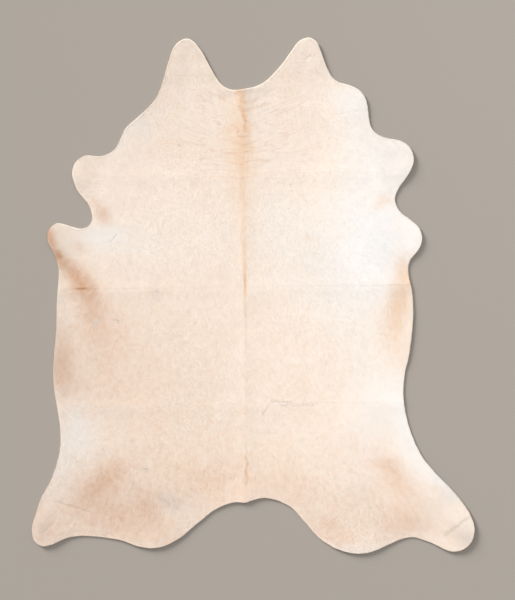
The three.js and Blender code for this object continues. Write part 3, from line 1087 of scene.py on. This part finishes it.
def make_coat(hide, number, material):
    """One share of the coat: flat tapered locks, each a triangle with the roundness of a lock"""
    random = np.random.default_rng(COAT_SEED + number)
    count = LOCKS_PER_COAT
    roots = scattered_roots(hide, count, random)
    x, y = roots.T
    turn = hide.flow(x, y) + np.radians(FLOW_SCATTER) * random.standard_normal(count)
    lie = np.column_stack([np.sin(turn), -np.cos(turn)])
    side = np.column_stack([-lie[:, 1], lie[:, 0]])
    length = random.uniform(*LOCK_LENGTH, count)
    width = random.uniform(*LOCK_WIDTH, count)

    # A lock that would reach too far past the edge is cut shorter
    inset = hide.inset(x, y)
    past = hide.inset(*(roots + lie * length[:, None]).T)
    kept = np.where(past < -OVERHANG, (inset + OVERHANG) / np.maximum(inset - past, TINY), 1.0)
    length = length * np.clip(kept, LOCK_SHORTEST, 1.0)
    tips = roots + lie * length[:, None]

    ground = hide.coat_top(x, y) - COAT_DEPTH - LOCK_SINK
    crest = hide.coat_top(*tips.T) + random.uniform(*LOCK_RISE, count)
    across = side * (width / 2)[:, None]
    points = np.empty((count, 3, 3))
    points[:, 0] = np.column_stack([roots - across, ground])
    points[:, 1] = np.column_stack([roots + across, ground])
    points[:, 2] = np.column_stack([tips, crest])
    faces = np.arange(count * 3).reshape(count, 3)[:, [0, 2, 1]]
    coat = new_object(f"hair_coat_{number + 1}", points.reshape(-1, 3), faces, (material,))

    base = surface_normals(hide, x, y)
    base[:, :2] += LOCK_TILT * random.standard_normal((count, 2))
    roll = LOCK_ROLL * np.column_stack([side, np.zeros(count)])
    normals = np.stack([base - roll, base + roll, base], axis=1)
    normals /= np.linalg.norm(normals, axis=2, keepdims=True)
    coat.data.normals_split_custom_set_from_vertices(normals.reshape(-1, 3).tolist())

    store_looks(coat, hide, roots, random.uniform(0, 1, count), 3)
    store_map(coat, *flat_place(points[:, :, 0].ravel(), points[:, :, 1].ravel()))
    return coat


class Look:
    """A new material, with short ways to make its shader nodes"""

    def __init__(self, name):
        self.material = bpy.data.materials.new(name)
        self.material.use_nodes = True
        self.tree = self.material.node_tree
        self.shader = self.tree.nodes["Principled BSDF"]

    def feed(self, made, inputs):
        """Sets each of a node's sockets, or links it where its value is another node's socket"""
        for key, value in inputs.items():
            if isinstance(value, bpy.types.NodeSocket):
                self.tree.links.new(value, made.inputs[key])
            else:
                made.inputs[key].default_value = value

    def node(self, kind, inputs=None, **settings):
        made = self.tree.nodes.new("ShaderNode" + kind)
        for name, value in settings.items():
            setattr(made, name, value)
        self.feed(made, inputs or {})
        return made

    def attribute(self, name, output="Fac"):
        return self.node("Attribute", attribute_name=name).outputs[output]

    def math(self, operation, first, second=0.0, clamp=False):
        return self.node("Math", {0: first, 1: second}, operation=operation, use_clamp=clamp).outputs[0]

    def plus(self, first, second):
        return self.math("ADD", first, second)

    def minus(self, first, second):
        return self.math("SUBTRACT", first, second)

    def times(self, first, second, clamp=False):
        return self.math("MULTIPLY", first, second, clamp)

    def vector(self, operation, first, second=(0, 0, 0), output="Vector"):
        return self.node("VectorMath", {0: first, 1: second}, operation=operation).outputs[output]

    def mixed(self, share, first, second, blend="MIX"):
        """A mix of two colours"""
        keys = {0: share, 6: first, 7: second}
        return self.node("Mix", keys, data_type="RGBA", blend_type=blend).outputs[2]

    def spread(self, value, low, high, to_low=0.0, to_high=1.0, way="LINEAR"):
        """A value from low to high, spread over another range"""
        keys = {"Value": value, "From Min": low, "From Max": high, "To Min": to_low, "To Max": to_high}
        return self.node("MapRange", keys, interpolation_type=way).outputs["Result"]

    def lumps(self, place, scale, detail, roughness=0.5, distortion=0.0, output="Fac"):
        keys = {"Vector": place, "Scale": scale, "Detail": detail, "Roughness": roughness,
                "Distortion": distortion}
        return self.node("TexNoise", keys).outputs[output]

    def surface(self, colour, nap, kind):
        """The shader's colour, with a bump and a roughness that follow the nap"""
        keys = {"Strength": kind["bump"], "Distance": kind["depth"], "Height": nap}
        normal = self.node("Bump", keys).outputs["Normal"]
        roughness = self.spread(nap, *LUMP_SPAN, *kind["roughness"])
        self.feed(self.shader, {"Base Color": colour, "Normal": normal, "Roughness": roughness,
                                "Specular IOR Level": kind["specular"]})


def line_mask(look, place, row):
    """A thin line between two places, from 0 to its depth, that fades towards its ends"""
    start, end = on_hide(*row["from"]), on_hide(*row["to"])
    run = (end[0] - start[0], end[1] - start[1], 0)
    from_start = look.vector("SUBTRACT", place, (*start, 0))
    share = look.vector("DOT_PRODUCT", from_start, run, "Value")
    share = look.math("DIVIDE", share, run[0] ** 2 + run[1] ** 2, True)
    nearest = look.node("VectorMath", {0: run, "Scale": share}, operation="SCALE").outputs["Vector"]
    distance = look.vector("LENGTH", look.vector("SUBTRACT", from_start, nearest), output="Value")
    line = look.spread(distance, 0.0, row["half_width"] * MM, row["depth"], 0.0, "SMOOTHSTEP")
    if row["taper"] == 0:
        return line

    # A quarter at the line's middle, and nothing at its two ends
    ends = look.times(share, look.minus(1.0, share))
    return look.times(line, look.spread(ends, 0.0, 0.25 * row["taper"], LINE_END, 1.0))


def line_work(look, place, rows):
    """All lines of one table, drawn where the light falls on them and not by the lock's root"""
    total = 0.0
    for row in rows:
        total = look.math("MAXIMUM", total, line_mask(look, place, row))
    return total


def wandering(look, place, reach):
    """The place on the hide, shifted a little so that no line runs ruler-straight"""
    wander = look.lumps(place, WANDER_SCALE, 2, output="Color")
    wander = look.vector("SUBTRACT", wander, (0.5, 0.5, 0.5))
    return look.vector("ADD", place, look.vector("MULTIPLY", wander, (reach, reach, 0)))


def grey_specks(look, place):
    """Sparse specks, each a millimetre or two across, in a few cells of a loose net"""
    keys = {"Vector": place, "Scale": 1 / SPECKS["spacing"], "Randomness": 1.0}
    cells = look.node("TexVoronoi", keys, voronoi_dimensions="2D").outputs
    chosen = look.node("SeparateColor", {"Color": cells["Color"]}).outputs["Red"]
    size = SPECKS["size"] / SPECKS["spacing"]
    dot = look.spread(cells["Distance"], SPECKS["core"] * size, size, 1.0, 0.0)
    dot = look.times(dot, look.spread(chosen, *SPECKS["chosen"]))
    return look.times(dot, SPECKS["depth"])


def wrinkle_shade_lines(look, place):
    """The neck's wrinkles as thin dark lines of painted shade that climb away from the spine on both sides
    """
    parts = look.node("SeparateXYZ", {"Vector": place}).outputs
    spine_x, top_y = on_hide(WRINKLES["spine"], WRINKLES["top"])
    foot_y = on_hide(WRINKLES["spine"], WRINKLES["foot"])[1]
    side = look.minus(parts["X"], spine_x)
    aside = look.math("ABSOLUTE", side)
    climb = look.spread(parts["Y"], foot_y, top_y, WRINKLES["foot_climb"], WRINKLES["top_climb"])
    level = look.minus(parts["Y"], look.times(aside, climb))
    across = look.times(side, WRINKLES["stretch"])
    fan = look.node("CombineXYZ", {"X": across, "Y": level, "Z": 0.0}).outputs["Vector"]
    ridged = look.lumps(fan, *(WRINKLES[key] for key in ("scale", "detail", "roughness", "distortion")))
    valley = look.math("ABSOLUTE", look.minus(ridged, 0.5))
    mask = look.spread(valley, 0.0, WRINKLES["thinness"], 1.0, 0.0)
    reach = WRINKLES["reach"] * PIXEL
    near = look.spread(aside, WRINKLES["full"] * reach, reach, 1.0, 0.0)
    upper = look.spread(parts["Y"], top_y, top_y - WRINKLES["top_fade"] * PIXEL, 0.0, 1.0)
    lower = look.spread(parts["Y"], foot_y, foot_y + WRINKLES["foot_fade"] * PIXEL, 0.0, 1.0)
    for share in (near, upper, lower, WRINKLES["depth"]):
        mask = look.times(mask, share)
    return mask


def coat_colour(look, place):
    """The coat's colour: creams in soft lumps, with each marking broken up by finer ones, and painted shade
    and painted highlights along its folds, creases, scar, wrinkles and rim, and over its outer parts
    """
    root = look.attribute("root", "Vector")
    lumps = {}
    peach = 0.0
    for row in COAT_LUMPS:
        lump = look.lumps(root, row["scale"], row["detail"], row["roughness"])
        peach = look.plus(peach, look.spread(lump, row["low"], row["high"], 0.0, row["peach"]))
        lumps[row["name"]] = lump
    fine = look.lumps(root, FINE_LUMPS, 2)
    colour = look.mixed(peach, CREAM, PEACH)

    flecks = look.spread(lumps["middle"], FLECKS["low"], FLECKS["high"], 0.0, FLECKS["share"])
    broken = look.times(look.spread(lumps["middle"], *LUMP_SPAN, *BROKEN["middle"]),
                        look.spread(fine, *LUMP_SPAN, *BROKEN["fine"]))

    def marking(name, evenness=1.0):
        return look.times(look.times(look.attribute(name), evenness), MARKING_SHARES[name], True)

    still = look.vector("MULTIPLY", place, (1, 1, 0))
    jagged = wandering(look, still, LINE_WANDER)
    uneven = wandering(look, still, MARK_WANDER)
    layers = [
        (look.attribute("pale"), PALE),
        (look.times(flecks, look.attribute("mottle")), TAN),
        (marking("tan", broken), TAN),
        (marking("ginger", broken), GINGER),
        (marking("knot"), TAN),
        (marking("smudge"), DUSK),
        # Painted shade: the rim tinted towards tan
        (marking("rim"), TAN),
        # Painted shade in the neck's wrinkles
        (wrinkle_shade_lines(look, place), TAN),
        # Painted shade along the folds
        (line_work(look, still, FOLD_SHADE_LINES), CREASE_SHADE),
        # Painted highlights beside the scar, creases and folds
        (line_work(look, jagged, HIGHLIGHT_LINES), PALE),
        # Painted shade in the creases and the scar
        (line_work(look, jagged, CREASE_SHADE_LINES), CREASE_SHADE),
        (line_work(look, uneven, MARKS), SLATE),
        (line_work(look, still, BROWN_MARKS), BROWN),
        (line_work(look, uneven, PALE_MARKS), ASH),
        (grey_specks(look, still), SLATE),
    ]
    for share, tint in layers:
        colour = look.mixed(share, colour, tint)

    lock = look.spread(look.attribute("strand"), 0, 1, *STRAND_SHADES)
    # Painted shade and painted light darken or brighten the whole colour here
    lock = look.minus(lock, look.attribute("painted_shade"))
    grain = look.attribute("grain")
    shades = {channel: look.plus(lock, look.times(grain, share * GRAIN_DEPTH))
              for channel, share in GRAIN_SHARES.items()}
    return look.mixed(1.0, colour, look.node("CombineColor", shades).outputs["Color"], "MULTIPLY")


def coat_material():
    """Short hair with a soft sheen, and a fine bump along the body"""
    look = Look("cream_coat")
    place = look.node("TexCoord").outputs["Object"]
    stretched = look.node("Mapping", {"Vector": place, "Scale": HAIR["stretch"]}).outputs["Vector"]
    look.surface(coat_colour(look, place), look.lumps(stretched, HAIR["scale"], 2), HAIR)
    look.feed(look.shader, {"Sheen Weight": HAIR["sheen"], "Sheen Roughness": HAIR["sheen_roughness"]})
    return look.material


def suede_material():
    """The bare skin: napped suede below, a little darker where it is rubbed"""
    look = Look("hide_suede")
    place = look.node("TexCoord").outputs["Object"]
    rubbed = look.spread(look.lumps(place, NAP["rubbed_scale"], 4, 0.6), *NAP["rubbed"])
    nap = look.lumps(place, NAP["scale"], 3, 0.65)
    share = look.times(rubbed, look.spread(nap, *LUMP_SPAN, NAP["least"], 1.0))
    look.surface(look.mixed(share, SUEDE, SUEDE_DARK), nap, NAP)
    return look.material


def floor_material():
    look = Look("plain_floor")
    look.feed(look.shader, {"Base Color": FLOOR, "Roughness": FLOOR_ROUGHNESS,
                            "Specular IOR Level": FLOOR_SPECULAR})
    return look.material


def place_light(name, data, place, back):
    """A light in the scene, that shines from the direction at its back"""
    made = bpy.data.objects.new(name, data)
    made.location = place
    made.rotation_euler = Vector(back).to_track_quat("Z", "Y").to_euler()
    bpy.context.scene.collection.objects.link(made)


def make_camera():
    """Straight above, so that the frame holds what the photograph shows"""
    height = PHOTO["height"] * PIXEL
    data = bpy.data.cameras.new("camera")
    data.sensor_fit = "VERTICAL"
    data.sensor_height = SENSOR_HEIGHT
    data.lens = LENS
    camera = bpy.data.objects.new("camera", data)
    x, y = on_hide(PHOTO["width"] / 2, PHOTO["height"] / 2)
    camera.location = (x, y, COAT_LEVEL + height * LENS / SENSOR_HEIGHT)
    bpy.context.scene.collection.objects.link(camera)
    bpy.context.scene.camera = camera


def make_light():
    """An even room light, one soft key from the photograph's upper left, and a faint fill"""
    world = bpy.data.worlds.new("studio")
    world.use_nodes = True
    world.node_tree.nodes["Background"].inputs["Color"].default_value = (1, 1, 1, 1)
    world.node_tree.nodes["Background"].inputs["Strength"].default_value = WORLD_LIGHT
    bpy.context.scene.world = world
    key = bpy.data.lights.new("key", "SUN")
    key.energy = KEY_STRENGTH
    key.angle = math.radians(KEY_SOFTNESS)
    azimuth, elevation = math.radians(KEY_AZIMUTH), math.radians(KEY_ELEVATION)
    level = math.cos(elevation)
    towards = (level * math.cos(azimuth), level * math.sin(azimuth), math.sin(elevation))
    place_light("key", key, (0, 0, 0), towards)
    fill = bpy.data.lights.new("fill", "AREA")
    fill.energy = FILL_POWER
    fill.size = FILL_SIZE
    place_light("fill", fill, FILL_PLACE, FILL_PLACE)


def make_floor():
    half = FLOOR_HALF
    corners = np.array([(-half, -half, 0), (half, -half, 0), (half, half, 0), (-half, half, 0)])
    floor = new_object("floor", corners, np.array([(0, 1, 2), (0, 2, 3)]), (floor_material(),))


make_camera()
make_light()
make_floor()
bpy.context.scene.view_settings.view_transform = "Standard"

hide = Hide(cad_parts[NODE])
coat_look = coat_material()
sheet = make_sheet(hide, coat_look, suede_material())
coats = [make_coat(hide, number, coat_look) for number in range(COATS)]
for piece in (sheet, *coats):
    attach(piece, BODY)
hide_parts(NODE)
